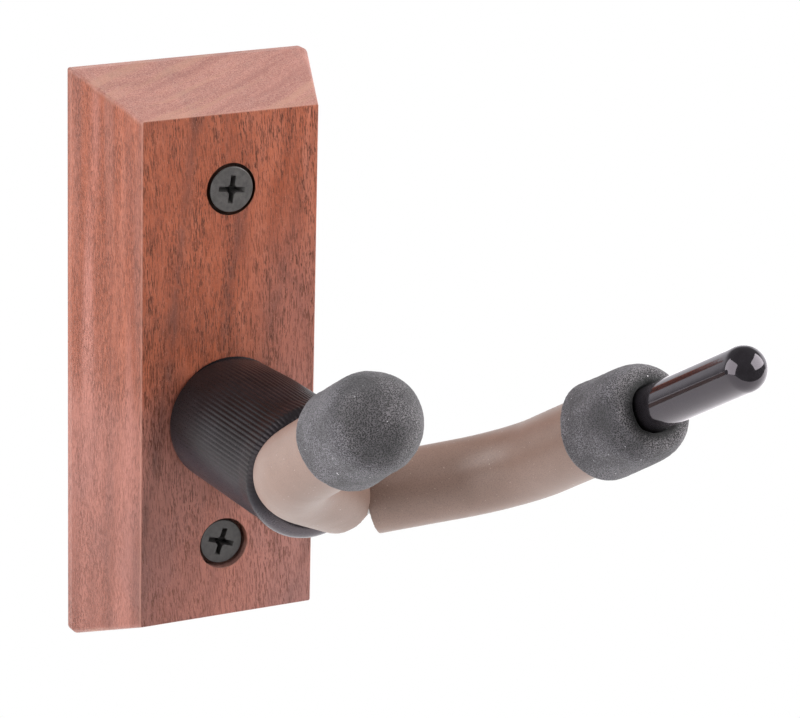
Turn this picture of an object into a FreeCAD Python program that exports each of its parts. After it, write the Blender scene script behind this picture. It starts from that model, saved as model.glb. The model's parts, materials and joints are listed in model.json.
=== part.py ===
import FreeCAD, Part
import math
import os

# Wall hanger for a bowed or small-necked instrument, in millimetres.
# Origin: centre of the plate's back face.  +X right, +Y into the wall, +Z up.

V = FreeCAD.Vector

# ---- wooden plate ----
PLATE_HEIGHT = 108.0
PLATE_WIDTH = 47.2
PLATE_THICK = 19.05
PLATE_LIP = 1.8            # straight edge at the back, before the bevel starts
PLATE_BEVEL = 6.3          # how far the front face is set in from the outline
PLATE_CORNER_R = 1.4       # rounding of the outline's corners, all but the top left one
PLATE_TOP_LEFT_R = 0.4
PLATE_FRONT_CORNER_R = 0.35
PLATE_ARRIS_R = 0.3

# ---- mounting screws (number 8 flat head) and their holes ----
SCREW_SPACING = 67.4
LOWER_SCREW_SHIFT = -0.7   # the lower hole stands this far off the plate's centre line
SCREW_LENGTH = 50.8
SCREW_HEAD_R = 4.2
SCREW_HEAD_RIM = 0.3
SCREW_HEAD_EASE = 0.15
SCREW_HEAD_HALF_ANGLE = 41.0
SCREW_SHANK_R = 1.85
SCREW_SHANK_END = 22.0     # smooth shank ends this far below the top of the head
SCREW_NECK_END = 23.0
SCREW_CORE_R = 1.45
SCREW_THREAD_R = 2.1
SCREW_PITCH = 1.7
SCREW_POINT_LENGTH = 6.0
RECESS_SPAN = 5.2          # cross recess, wing tip to wing tip
RECESS_WING = 1.0
RECESS_DEPTH = 2.2
RECESS_FLOOR_SPAN = 3.0
RECESS_FLOOR_WING = 0.6
RECESS_WELL_R = 1.0
THREAD_FOOT = 0.7          # ridge width at its foot and crest, as a share of the pitch
THREAD_CREST = 0.12
THREAD_SINK = 0.15         # how far the ridge is sunk into the core
UPPER_HEAD_DEPTH = -0.35   # top of the head below the plate's front face; negative stands proud
LOWER_HEAD_DEPTH = 1.1
UPPER_SCREW_TURN = 7.0     # how far each cross is turned clockwise from upright
LOWER_SCREW_TURN = 18.0
COUNTERBORE_R = 4.85
SCREW_HOLE_R = 3.175

# ---- swivel: stem, washers, nut, spacer ----
HUB_Z = -9.3               # height of the swivel axis
STEM_R = 3.97
RUNNING_GAP = 0.08         # radial clearance of the stem in plate and washers
END_FLOAT = 0.05           # axial clearance across the swivel
NUT_POCKET_R = 11.0
NUT_POCKET_DEPTH = 11.6
WASHER_THICK = 1.6
REAR_WASHER_R = 10.2
FRONT_WASHER_R = 9.5
NUT_FLATS = 12.7
NUT_HEX_HEIGHT = 6.0
NUT_COLLAR_R = 5.7
NUT_COLLAR_HEIGHT = 2.6
NUT_LIP = 0.5
NYLON_R = 5.1
SPACER_R = 6.35
SPACER_BORE_R = 4.02
STEM_TAIL = 0.7            # stem end past the nut
STEM_CHAMFER = 0.5
WELD_R = 4.7
WELD_FULL = 3.6            # full width this far behind the yoke's corner
WELD_TOE = 0.4
WELD_LENGTH = 6.2

# ---- rubber boot ----
BOOT_LENGTH = 35.4
BOOT_BASE_R = 12.05
BOOT_WAIST_R = 12.0        # just behind the lip
BOOT_LIP_R = 12.35
BOOT_LIP_ROUND = 2.4
BOOT_FLARE_LENGTH = 4.0
BOOT_DISH_DEPTH = 3.0
BOOT_BASE_GAP = 0.3
BOOT_FOOT_ROUND = 0.5
BOOT_BORE_CLEARANCE = 0.05
BOOT_WASHER_CLEARANCE = 0.4

# ---- yoke: one bent rod with mirrored arms ----
ROD_R = 3.175
YOKE_STANDOFF = 49.2       # plate face to the corner where the two arms meet
YOKE_REST_TURN = 5.9       # clockwise seen from the front, in degrees
CENTRE_BEND_R = 4.5
ARM_SPREAD = 34.8          # first leg, forward from straight out sideways
ARM_RISE = 19.2
ARM_FIRST_LEG = 29.0       # corner to corner
ARM_BEND_R = 23.6
TIP_SPREAD = 85.9          # second leg, nearly straight forward
TIP_RISE = 30.5
TUBE_R = 6.81              # positions below run along each arm from the centre corner
TUBE_BORE_R = 3.2
LEFT_TUBE_START = 5.9
RIGHT_TUBE_START = 3.7      # this end sits under the other tube's
FOAM_START = 54.3
FOAM_R = 8.6
FOAM_END_R = 8.4
FOAM_EDGE_ROUND = 0.9
FOAM_BORE_R = 3.25
DOME_CENTRE = 65.2
LEFT_ROD_END = 66.5
RIGHT_MOUTH_START = 66.0
RIGHT_MOUTH_R = 4.8
RIGHT_MOUTH_EASE = 1.2
PEG_R = 3.86
PEG_BORE_R = 3.2
PEG_START = 66.1
PEG_END = 98.9
PEG_ROD_END = 94.6
JOINT_GAP = 0.05           # left between pieces that meet end to end
OVERRUN = 1.0              # how far a cutting tool runs past the face it cuts
TOLERANCE = 0.01

FRONT_Y = -PLATE_THICK
ORIGIN = V(0, 0, 0)
UP = V(0, 0, 1)
REARWARD = V(0, 1, 0)
FORWARD = V(0, -1, 0)


def save(name, shape):
    """Write one named piece."""
    shape.exportStep("parts/" + name + ".step")


def cylinder(radius, start, direction, length):
    """Cylinder from a start point along a direction."""
    return Part.makeCylinder(radius, length, start, direction)


def ring(outer_r, inner_r, start, direction, length):
    """Flat ring or tube."""
    bore = cylinder(inner_r, start - direction * OVERRUN, direction, length + 2 * OVERRUN)
    return cylinder(outer_r, start, direction, length).cut(bore)


def revolved(profile, centre, direction):
    """Turn a closed (radius, distance) outline about an axis through centre."""
    points = [V(r, 0, s) for r, s in profile]
    face = Part.Face(Part.makePolygon(points + points[:1]))
    solid = face.revolve(ORIGIN, UP, 360)
    return placed(solid, centre, direction)


def placed(shape, centre, direction):
    """Move a shape built along +Z so that it starts at centre and runs along direction."""
    turn = FreeCAD.Rotation(UP, direction)
    moved = shape.copy()
    moved.Placement = FreeCAD.Placement(centre, turn).multiply(shape.Placement)
    return moved


def one_solid(shape):
    """The single solid of a boolean result, with its split faces merged."""
    return shape.removeSplitter().Solids[0]


# ---------------------------------------------------------------- plate
def rounded_rectangle(width, height, y, radii):
    """Closed wire, upright at the given y; radii go bottom left, bottom right, top right, top left."""
    quarter = math.pi / 2
    arcs = []
    for k, radius in enumerate(radii):
        start = math.pi + k * quarter
        middle = start + quarter / 2
        centre = V(math.copysign(width / 2 - radius, math.cos(middle)), y,
                   math.copysign(height / 2 - radius, math.sin(middle)))
        turns = (start, middle, start + quarter)
        arcs.append(Part.Arc(*[centre + V(math.cos(a), 0, math.sin(a)) * radius for a in turns]))
    edges = []
    for corner, following in zip(arcs, arcs[1:] + arcs[:1]):
        edges.append(corner.toShape())
        edges.append(Part.LineSegment(corner.EndPoint, following.StartPoint).toShape())
    return Part.Wire(edges)


def screw_seat(x, z, head_depth):
    """Flat-bottomed counterbore, with the head's cone resting on the rim of the shank hole."""
    slope = math.tan(math.radians(SCREW_HEAD_HALF_ANGLE))
    cone_rest = SCREW_HEAD_RIM + (SCREW_HEAD_R - SCREW_HOLE_R) / slope
    above = V(x, FRONT_Y - OVERRUN, z)
    pocket = cylinder(COUNTERBORE_R, above, REARWARD, OVERRUN + head_depth + cone_rest)
    shank = cylinder(SCREW_HOLE_R, above, REARWARD, PLATE_THICK + 2 * OVERRUN)
    return pocket.fuse(shank)


def make_wood_base():
    """Bevelled block with the swivel bore, the nut pocket and two screw seats."""
    front_w = PLATE_WIDTH - 2 * PLATE_BEVEL
    front_h = PLATE_HEIGHT - 2 * PLATE_BEVEL
    corners = [PLATE_CORNER_R] * 3 + [PLATE_TOP_LEFT_R]
    outline = rounded_rectangle(PLATE_WIDTH, PLATE_HEIGHT, -PLATE_LIP, corners)
    front = rounded_rectangle(front_w, front_h, FRONT_Y, [PLATE_FRONT_CORNER_R] * 4)
    lip = Part.Face(outline).extrude(REARWARD * PLATE_LIP)
    block = one_solid(lip.fuse(Part.makeLoft([outline, front], True, True)))
    arrises = [e for e in block.Edges if abs(e.CenterOfMass.y - FRONT_Y) < TOLERANCE]
    block = block.makeFillet(PLATE_ARRIS_R, arrises)
    bore_start = V(0, FRONT_Y - OVERRUN, HUB_Z)
    bore = cylinder(STEM_R + RUNNING_GAP, bore_start, REARWARD, PLATE_THICK + 2 * OVERRUN)
    pocket_floor = V(0, -NUT_POCKET_DEPTH, HUB_Z)
    pocket = cylinder(NUT_POCKET_R, pocket_floor, REARWARD, NUT_POCKET_DEPTH + OVERRUN)
    upper = screw_seat(0, SCREW_SPACING / 2, UPPER_HEAD_DEPTH)
    lower = screw_seat(LOWER_SCREW_SHIFT, -SCREW_SPACING / 2, LOWER_HEAD_DEPTH)
    return one_solid(block.cut([bore, pocket, upper, lower]))


# ---------------------------------------------------------------- screws
def helical_ridge(root_r, crest_r, pitch, start, length):
    """Thread ridge wound round +Z, sunk a little into its core."""
    foot = pitch * THREAD_FOOT / 2
    crest = pitch * THREAD_CREST / 2
    inner = root_r - THREAD_SINK
    outline = [V(inner, 0, start - foot), V(crest_r, 0, start - crest),
               V(crest_r, 0, start + crest), V(inner, 0, start + foot)]
    section = Part.makePolygon(outline + outline[:1])
    spine = Part.makeHelix(pitch, length, root_r)
    spine.translate(V(0, 0, start))
    return Part.Wire(spine.Edges).makePipeShell([section], True, True)


def cross_recess():
    """Tapered four-winged driver recess, opening at z = 0 and running down +Z."""
    def bar(span, wing, z):
        half_s = span / 2
        half_w = wing / 2
        corners = [V(-half_s, -half_w, z), V(half_s, -half_w, z), V(half_s, half_w, z), V(-half_s, half_w, z)]
        return Part.makePolygon(corners + corners[:1])
    top = bar(RECESS_SPAN, RECESS_WING, 0)
    wing = Part.makeLoft([top, bar(RECESS_FLOOR_SPAN, RECESS_FLOOR_WING, RECESS_DEPTH)], True, True)
    other = wing.copy()
    other.rotate(ORIGIN, UP, 90)
    well = Part.makeCone(RECESS_WELL_R, RECESS_FLOOR_WING / 2, RECESS_DEPTH + RECESS_WELL_R / 2)
    return wing.fuse([other, well])


def make_screw(x, z, head_depth, turn):
    """Countersunk wood screw: cross recess, smooth shank, thread and point."""
    slope = math.tan(math.radians(SCREW_HEAD_HALF_ANGLE))
    cone_end = SCREW_HEAD_RIM + (SCREW_HEAD_R - SCREW_SHANK_R) / slope
    point_start = SCREW_LENGTH - SCREW_POINT_LENGTH
    profile = [
        (0, 0),
        (SCREW_HEAD_R - SCREW_HEAD_EASE, 0),
        (SCREW_HEAD_R, SCREW_HEAD_EASE),
        (SCREW_HEAD_R, SCREW_HEAD_RIM),
        (SCREW_SHANK_R, cone_end),
        (SCREW_SHANK_R, SCREW_SHANK_END),
        (SCREW_CORE_R, SCREW_NECK_END),
        (SCREW_CORE_R, point_start),
        (0, SCREW_LENGTH),
    ]
    body = revolved(profile, ORIGIN, UP)
    ridge_start = SCREW_NECK_END + SCREW_PITCH / 2
    ridge = helical_ridge(SCREW_CORE_R, SCREW_THREAD_R, SCREW_PITCH, ridge_start, point_start - ridge_start)
    screw = one_solid(body.fuse(ridge).cut(cross_recess()))
    screw.rotate(ORIGIN, UP, turn)
    return placed(screw, V(x, FRONT_Y + head_depth, z), REARWARD)


# ---------------------------------------------------------------- swivel hardware
def make_front_thrust_washer():
    """Flat washer between the plate and the spacer."""
    return ring(FRONT_WASHER_R, STEM_R + RUNNING_GAP, V(0, FRONT_Y, HUB_Z), FORWARD, WASHER_THICK)


def make_rear_washer():
    """Flat washer on the floor of the nut pocket."""
    return ring(REAR_WASHER_R, STEM_R + RUNNING_GAP, V(0, -NUT_POCKET_DEPTH, HUB_Z), REARWARD, WASHER_THICK)


def nut_start():
    """Seat of the nut on the rear washer."""
    return V(0, -NUT_POCKET_DEPTH + WASHER_THICK + END_FLOAT, HUB_Z)


def make_lock_nut():
    """Hexagon nut with a round collar crimped over its nylon ring."""
    corner_r = NUT_FLATS / math.sqrt(3)
    turns = [k * math.pi / 3 for k in range(7)]
    corners = [V(corner_r * math.cos(a), corner_r * math.sin(a), 0) for a in turns]
    hexagon = Part.Face(Part.makePolygon(corners)).extrude(V(0, 0, NUT_HEX_HEIGHT))
    drop = corner_r - NUT_FLATS / 2
    chamfer = [
        (0, 0),
        (NUT_FLATS / 2, 0),
        (corner_r, drop),
        (corner_r, NUT_HEX_HEIGHT - drop),
        (NUT_FLATS / 2, NUT_HEX_HEIGHT),
        (0, NUT_HEX_HEIGHT),
    ]
    body = hexagon.common(revolved(chamfer, ORIGIN, UP))
    collar = cylinder(NUT_COLLAR_R, UP * (NUT_HEX_HEIGHT - drop), UP, NUT_COLLAR_HEIGHT + drop)
    nut = body.fuse(collar)
    nut = nut.cut(cylinder(STEM_R, UP * -OVERRUN, UP, NUT_HEX_HEIGHT + NUT_COLLAR_HEIGHT + 2 * OVERRUN))
    groove_height = NUT_COLLAR_HEIGHT - NUT_LIP
    nut = nut.cut(cylinder(NYLON_R, UP * NUT_HEX_HEIGHT, UP, groove_height))
    return placed(one_solid(nut), nut_start(), REARWARD)


def make_nut_nylon_ring():
    """Nylon ring that fills the collar's groove and grips the stem."""
    start = nut_start() + REARWARD * NUT_HEX_HEIGHT
    return ring(NYLON_R, STEM_R, start, REARWARD, NUT_COLLAR_HEIGHT - NUT_LIP)


def make_swivel_stem(rod):
    """Round stem from behind the nut to the yoke, coped to fit against the rod."""
    tail = nut_start() + REARWARD * (NUT_HEX_HEIGHT + NUT_COLLAR_HEIGHT + STEM_TAIL)
    head_y = FRONT_Y - YOKE_STANDOFF
    length = tail.y - head_y
    profile = [
        (0, 0),
        (STEM_R - STEM_CHAMFER, 0),
        (STEM_R, STEM_CHAMFER),
        (STEM_R, length),
        (0, length),
    ]
    bar = revolved(profile, tail, FORWARD)
    pieces = bar.cut(rod).Solids
    return max(pieces, key=lambda piece: piece.Volume)


def make_weld_bead(rod, stem):
    """Fillet weld running round the joint between stem and rod."""
    front = FRONT_Y - YOKE_STANDOFF
    profile = [(0, 0), (WELD_R, 0), (WELD_R, WELD_FULL), (STEM_R + WELD_TOE, WELD_LENGTH), (0, WELD_LENGTH)]
    bead = revolved(profile, V(0, front, HUB_Z), REARWARD)
    pieces = bead.cut([rod, stem]).Solids
    return max(pieces, key=lambda piece: piece.Volume)


def make_spacer_sleeve():
    """Steel tube from the front washer to the weld."""
    start = FRONT_Y - WASHER_THICK - END_FLOAT
    end = FRONT_Y - YOKE_STANDOFF + WELD_LENGTH + JOINT_GAP
    return ring(SPACER_R, SPACER_BORE_R, V(0, start, HUB_Z), FORWARD, start - end)


def line(a, b):
    """Straight edge between two (radius, distance) points."""
    return Part.LineSegment(V(a[0], 0, a[1]), V(b[0], 0, b[1])).toShape()


def round_over(centre, radius, from_deg, to_deg):
    """Arc edge about a (radius, distance) centre; 0 degrees points outward, 90 along the axis."""
    def spot(angle):
        a = math.radians(angle)
        return V(centre[0] + radius * math.cos(a), 0, centre[1] + radius * math.sin(a))
    return Part.Arc(spot(from_deg), spot((from_deg + to_deg) / 2), spot(to_deg)).toShape()


def turned(edges, centre, direction):
    """Turn a closed outline of edges about an axis through centre."""
    face = Part.Face(Part.Wire(edges))
    return placed(face.revolve(ORIGIN, UP, 360), centre, direction)


def make_hub_boot():
    """Slightly flared rubber sleeve with a rolled outer lip and a dished end."""
    bore_r = SPACER_R + BOOT_BORE_CLEARANCE
    washer_r = FRONT_WASHER_R + BOOT_WASHER_CLEARANCE
    washer_depth = WASHER_THICK + BOOT_WASHER_CLEARANCE
    foot = (BOOT_BASE_R - BOOT_FOOT_ROUND, BOOT_BASE_GAP + BOOT_FOOT_ROUND)
    lip = (BOOT_LIP_R - BOOT_LIP_ROUND, BOOT_LENGTH - BOOT_LIP_ROUND)
    waist = (BOOT_WAIST_R, lip[1] - BOOT_FLARE_LENGTH)
    dish_floor = BOOT_LENGTH - BOOT_DISH_DEPTH
    outline = [
        line((washer_r, BOOT_BASE_GAP), (foot[0], BOOT_BASE_GAP)),
        round_over(foot, BOOT_FOOT_ROUND, -90, 0),
        line((BOOT_BASE_R, foot[1]), waist),
        line(waist, (BOOT_LIP_R, lip[1])),
        round_over(lip, BOOT_LIP_ROUND, 0, 180),
        line((lip[0] - BOOT_LIP_ROUND, lip[1]), (bore_r, dish_floor)),
        line((bore_r, dish_floor), (bore_r, washer_depth)),
        line((bore_r, washer_depth), (washer_r, washer_depth)),
        line((washer_r, washer_depth), (washer_r, BOOT_BASE_GAP)),
    ]
    return turned(outline, V(0, FRONT_Y, HUB_Z), FORWARD)


# ---------------------------------------------------------------- yoke
def heading(spread, rise, side):
    """Unit direction: spread is measured forward from straight out sideways, rise upward."""
    spread = math.radians(spread)
    rise = math.radians(rise)
    flat = math.cos(rise)
    return V(side * math.cos(spread) * flat, -math.sin(spread) * flat, math.sin(rise))


class Arm:
    """Centreline of one arm: first leg, elbow, second leg; side is -1 for left, +1 for right.

    Distances run along the centreline from the corner where both arms meet.
    """

    def __init__(self, side):
        self.first = heading(ARM_SPREAD, ARM_RISE, side)
        self.second = heading(TIP_SPREAD, TIP_RISE, side)
        bend = self.first.getAngle(self.second)
        reach = ARM_BEND_R * math.tan(bend / 2)
        corner = self.first * ARM_FIRST_LEG
        inward = (self.second - self.first * self.first.dot(self.second)).normalize()
        self.bend_start = ARM_FIRST_LEG - reach
        self.bend_end = self.bend_start + ARM_BEND_R * bend
        self.elbow_in = corner - self.first * reach
        self.elbow_out = corner + self.second * reach
        centre = self.elbow_in + inward * ARM_BEND_R
        self.elbow_mid = centre + (corner - centre).normalize() * ARM_BEND_R

    def point(self, distance):
        """Point on either straight leg."""
        if distance <= self.bend_start:
            return self.first * distance
        return self.elbow_out + self.second * (distance - self.bend_end)

    def edges(self, start, end):
        """Line, arc, line from a point on the first leg to a point on the second."""
        return [
            Part.LineSegment(self.point(start), self.elbow_in).toShape(),
            Part.Arc(self.elbow_in, self.elbow_mid, self.elbow_out).toShape(),
            Part.LineSegment(self.elbow_out, self.point(end)).toShape(),
        ]


def on_yoke(shape):
    """Move a shape from the yoke's own frame, with its corner at the origin, to its place."""
    turn = FreeCAD.Rotation(REARWARD, YOKE_REST_TURN)
    corner = V(0, FRONT_Y - YOKE_STANDOFF, HUB_Z)
    moved = shape.copy()
    moved.Placement = FreeCAD.Placement(corner, turn).multiply(shape.Placement)
    return moved


def swept(radius, edges, start, direction):
    """Round bar along a chain of tangent edges."""
    spine = Part.Wire(edges)
    section = Part.Wire(Part.makeCircle(radius, start, direction))
    return Part.Solid(spine.makePipeShell([section], True, True))


def make_yoke_rod(left, right):
    """One round rod: left arm, tight centre bend, right arm and peg."""
    half_bend = (math.pi - left.first.getAngle(right.first)) / 2
    reach = CENTRE_BEND_R * math.tan(half_bend)
    forward = (left.first + right.first).normalize()
    nearest = forward * (CENTRE_BEND_R / math.cos(half_bend) - CENTRE_BEND_R)
    bend = Part.Arc(left.first * reach, nearest, right.first * reach).toShape()
    chain = Part.__sortEdges__(left.edges(reach, LEFT_ROD_END) + [bend] + right.edges(reach, PEG_ROD_END))
    return on_yoke(swept(ROD_R, chain, left.point(LEFT_ROD_END), left.second))


def arm_tube(arm, start):
    """Rubber tube over the rod, from the centre to the foam, in the yoke's own frame."""
    path = arm.edges(start, FOAM_START - JOINT_GAP)
    outer = swept(TUBE_R, path, arm.point(start), arm.first)
    bore = swept(TUBE_BORE_R, path, arm.point(start), arm.first)
    return outer.cut(bore)


def make_right_arm_tube(arm):
    """Square-cut tube that reaches nearly to the centre."""
    return on_yoke(arm_tube(arm, RIGHT_TUBE_START))


def make_left_arm_tube(arm, other):
    """Tube pressed flat where it meets the end of the right one."""
    inward = (arm.first - other.first * other.first.dot(arm.first)).normalize()
    contact_x = (other.point(RIGHT_TUBE_START) + inward * TUBE_R).x - JOINT_GAP
    tube = arm_tube(arm, LEFT_TUBE_START)
    reach = 2 * TUBE_R
    block = Part.makeBox(reach, 2 * reach, 2 * reach)
    block.translate(arm.point(LEFT_TUBE_START) - V(0, reach, reach))
    block.translate(V(contact_x - arm.point(LEFT_TUBE_START).x, 0, 0))
    return on_yoke(one_solid(tube.cut(block)))


def foam_body(arm):
    """Solid foam plug with a rounded rear edge and a domed front."""
    dome_s = DOME_CENTRE - FOAM_START
    edge = (FOAM_R - FOAM_EDGE_ROUND, FOAM_EDGE_ROUND)
    outline = [
        line((0, 0), (edge[0], 0)),
        round_over(edge, FOAM_EDGE_ROUND, -90, 0),
        line((FOAM_R, edge[1]), (FOAM_END_R, dome_s)),
        round_over((0, dome_s), FOAM_END_R, 0, 90),
        line((0, dome_s + FOAM_END_R), (0, 0)),
    ]
    return turned(outline, arm.point(FOAM_START), arm.second)


def make_left_foam_cap(arm):
    """Domed foam cap with a blind bore over the rod's end."""
    depth = LEFT_ROD_END + JOINT_GAP - FOAM_START
    bore = cylinder(FOAM_BORE_R, arm.point(FOAM_START - OVERRUN), arm.second, depth + OVERRUN)
    return on_yoke(foam_body(arm).cut(bore))


def is_mouth_rim(edge, floor):
    """True for the front edge of the peg mouth, where the bore meets the dome."""
    if edge.Curve.TypeId != "Part::GeomCircle" or abs(edge.Curve.Radius - RIGHT_MOUTH_R) > TOLERANCE:
        return False
    return edge.CenterOfMass.distanceToPoint(floor) > OVERRUN


def make_right_foam_collar(arm):
    """The same foam body, bored through for the peg and opened to a soft mouth."""
    through = DOME_CENTRE + FOAM_END_R - FOAM_START
    bore = cylinder(FOAM_BORE_R, arm.point(FOAM_START - OVERRUN), arm.second, through + 2 * OVERRUN)
    mouth = cylinder(RIGHT_MOUTH_R, arm.point(RIGHT_MOUTH_START), arm.second, through)
    collar = one_solid(foam_body(arm).cut([bore, mouth]))
    floor = arm.point(RIGHT_MOUTH_START)
    rim = [e for e in collar.Edges if is_mouth_rim(e, floor)]
    return on_yoke(collar.makeFillet(RIGHT_MOUTH_EASE, rim))


def make_bow_peg_sleeve(arm):
    """Round-ended sleeve over the rod's bare end."""
    length = PEG_END - PEG_START
    tip = (0, length - PEG_R)
    hollow = PEG_ROD_END + JOINT_GAP - PEG_START
    outline = [
        line((PEG_BORE_R, 0), (PEG_R, 0)),
        line((PEG_R, 0), (PEG_R, tip[1])),
        round_over(tip, PEG_R, 0, 90),
        line((0, length), (0, hollow)),
        line((0, hollow), (PEG_BORE_R, hollow)),
        line((PEG_BORE_R, hollow), (PEG_BORE_R, 0)),
    ]
    return on_yoke(turned(outline, arm.point(PEG_START), arm.second))


def main():
    """Build and write every piece."""
    os.makedirs("parts", exist_ok=True)
    left = Arm(-1)
    right = Arm(1)
    rod = make_yoke_rod(left, right)
    stem = make_swivel_stem(rod)
    pieces = {
        "wood_base": make_wood_base(),
        "upper_mounting_screw": make_screw(0, SCREW_SPACING / 2, UPPER_HEAD_DEPTH, UPPER_SCREW_TURN),
        "lower_mounting_screw": make_screw(LOWER_SCREW_SHIFT, -SCREW_SPACING / 2, LOWER_HEAD_DEPTH,
                                           LOWER_SCREW_TURN),
        "front_thrust_washer": make_front_thrust_washer(),
        "rear_washer": make_rear_washer(),
        "lock_nut": make_lock_nut(),
        "nut_nylon_ring": make_nut_nylon_ring(),
        "swivel_stem": stem,
        "weld_bead": make_weld_bead(rod, stem),
        "spacer_sleeve": make_spacer_sleeve(),
        "hub_boot": make_hub_boot(),
        "yoke_rod": rod,
        "left_arm_tube": make_left_arm_tube(left, right),
        "right_arm_tube": make_right_arm_tube(right),
        "left_foam_cap": make_left_foam_cap(left),
        "right_foam_collar": make_right_foam_collar(right),
        "bow_peg_sleeve": make_bow_peg_sleeve(right),
    }
    for name, shape in pieces.items():
        save(name, shape)


main()
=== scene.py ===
import json
import math

import bmesh
import bpy
import numpy as np
from mathutils import Matrix, Vector, noise


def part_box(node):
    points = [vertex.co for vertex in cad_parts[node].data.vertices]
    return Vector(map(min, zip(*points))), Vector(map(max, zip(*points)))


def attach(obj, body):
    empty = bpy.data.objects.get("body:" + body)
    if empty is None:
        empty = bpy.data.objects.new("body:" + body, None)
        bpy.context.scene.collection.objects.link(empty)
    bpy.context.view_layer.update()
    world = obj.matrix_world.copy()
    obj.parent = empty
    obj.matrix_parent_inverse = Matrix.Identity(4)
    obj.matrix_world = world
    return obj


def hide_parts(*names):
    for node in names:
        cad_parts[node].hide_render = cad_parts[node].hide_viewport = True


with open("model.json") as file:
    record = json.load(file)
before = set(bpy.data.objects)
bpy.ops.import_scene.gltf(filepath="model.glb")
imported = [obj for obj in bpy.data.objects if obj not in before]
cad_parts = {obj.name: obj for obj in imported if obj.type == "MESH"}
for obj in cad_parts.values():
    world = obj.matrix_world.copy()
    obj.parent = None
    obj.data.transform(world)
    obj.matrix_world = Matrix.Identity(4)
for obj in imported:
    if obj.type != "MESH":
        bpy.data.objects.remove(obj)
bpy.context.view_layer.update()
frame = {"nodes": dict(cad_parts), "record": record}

MM = 0.001
MM_PER_METRE = 1000.0               # object coordinates are metres; textures are laid out in mm
FULL_TURN = 2 * math.pi
MERGE_DISTANCE = 1e-8               # metres
TINY = 1e-6                         # keeps a division by a radius safe
SEED_STEP = (17.3, 5.1, 9.7)        # noise with another seed is read this far away


def mount(name):
    """One mount of the record."""
    return next(m for m in frame["record"]["mounts"] if m["name"] == name)


# ---- plate, in mm ----
plate_lo, plate_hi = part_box("wood_base")
PLATE_HALF_HEIGHT = (plate_hi.z - plate_lo.z) / 2 / MM
PLATE_HALF_WIDTH = (plate_hi.x - plate_lo.x) / 2 / MM
PLATE_FRONT = plate_lo.y / MM
PLATE_BEVEL = 6.3
BEVEL_BLUR = 0.4                    # the wood's look changes over this much either side of the bevel's edge
SCREW_HALF_SPACING = mount("wall_screws")["dims"]["spacing_y_mm"] / 2
LOWER_SCREW_SHIFT = -0.7
SCREW_HOLE_R = 4.85

# ---- boot, in mm ----
BOOT_BASE_R = 12.05
BOOT_WAIST_R = 12.0
BOOT_LIP_ROUND = 2.4
BOOT_FLARE_LENGTH = 4.0
BOOT_DISH_DEPTH = 3.0
BOOT_FOOT_ROUND = 0.5
BOOT_BORE_R = 6.4
BOOT_WASHER_R = 9.9
BOOT_WASHER_DEPTH = 1.7
BOOT_FLAT_DEPTH = 0.75              # the boot's top sags a little next to the plate
BOOT_FLAT_LENGTH = 12.0

# ---- the boot's ribs ----
RIB_COUNT = 90
RIB_HEIGHT = 0.155                  # mm
RIB_STEPS = 12                      # mesh columns per rib
RIB_FADE_LENGTH = 14.0              # mm; ribs rise from nothing over this length from the plate
RIB_SIDE_SHARE = 0.38               # rib height at the boot's sides, as a share of the full height
RIB_TOP_GAIN = 1.3                  # how fast it grows towards the top and shrinks towards the bottom
RIB_LEAST_SHARE = 0.02
RIB_CREST = 0.7                     # below 1 the crests are wider than the grooves
RIB_LIP_START = 1.6                 # over the lip, ribs end this many lip radii inside the waist
RIB_UNEVEN = 0.3
RIB_DRIFT_RATE = 9                  # how quickly the unevenness changes round the boot
RIB_DRIFT_SEED = (0.3, 0.7)

# ---- steps along the boot's outline ----
EDGE_STEPS = 2
FOOT_STEPS = 7
WALL_STEPS = 30
FLARE_STEPS = 8
LIP_STEPS = 26
DISH_STEPS = 5
BORE_STEPS = 8

# ---- peg, in mm ----
PEG_BORE_R = 3.2
PEG_BORE_END = 4.2                  # solid length left between the bore and the rounded tip
PEG_ROOT_ROUND = 0.35
PEG_COLUMNS = 160
PEG_ROOT_STEPS = 5
PEG_STEPS = 40

# ---- soft parts, in mm ----
MOUTH_REACH = 5.6                   # the right foam's bore narrows inside this radius
MOUTH_EASE = 0.5
MOUTH_SQUEEZE = 0.8
MOUTH_GAP = 0.12
LEFT_ARM_AXIS = (-0.01, -0.86, 0.51)  # the way the left arm's end points
LEFT_HOLLOWS = [                    # dimples with painted shade on the left cap: place and radius
    ((-24.7, -123.7, 20.2), 5.5),
    ((-24.5, -116.5, 28.6), 4.0),
]
RIGHT_HOLLOWS = [                   # the same on the right collar, along the edge of its face
    ((22.2, -122.3, 14.7), 4.6),
    ((19.4, -117.9, 17.6), 3.6),
]
HOLLOW_SHADE = 0.45                 # share of painted shade colour in the middle of a dimple
HOLLOW_DEPTH = 0.45
# painted shade on the foams' cut faces: multipliers on their colour, darker on the left cap
LEFT_FACE_SHADE = (0.70, 0.69, 0.71)
RIGHT_FACE_SHADE = (0.95, 0.94, 0.96)
TUBE_VOXEL = 0.32
FOAM_VOXEL = 0.17
WELD_VOXEL = 0.22
TUBE_SMOOTHING = 5                  # passes that ease the edges after remeshing
FOAM_SMOOTHING = 2
WELD_SMOOTHING = 2
TUBE_RELIEF = [(0.03, 9.0, 1), (0.012, 1.6, 2)]  # layers of lumps: height, size, seed
FOAM_RELIEF = [(0.20, 6.0, 3), (0.06, 1.3, 4), (0.035, 0.42, 5)]
WELD_RELIEF = [(0.16, 1.5, 6), (0.05, 0.6, 7)]


# ---------------------------------------------------------------- mesh helpers
def new_object(name, mesh):
    """Link a mesh into the scene as a smooth-shaded object."""
    mesh.shade_smooth()
    obj = bpy.data.objects.new(name, mesh)
    bpy.context.scene.collection.objects.link(obj)
    return obj


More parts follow.
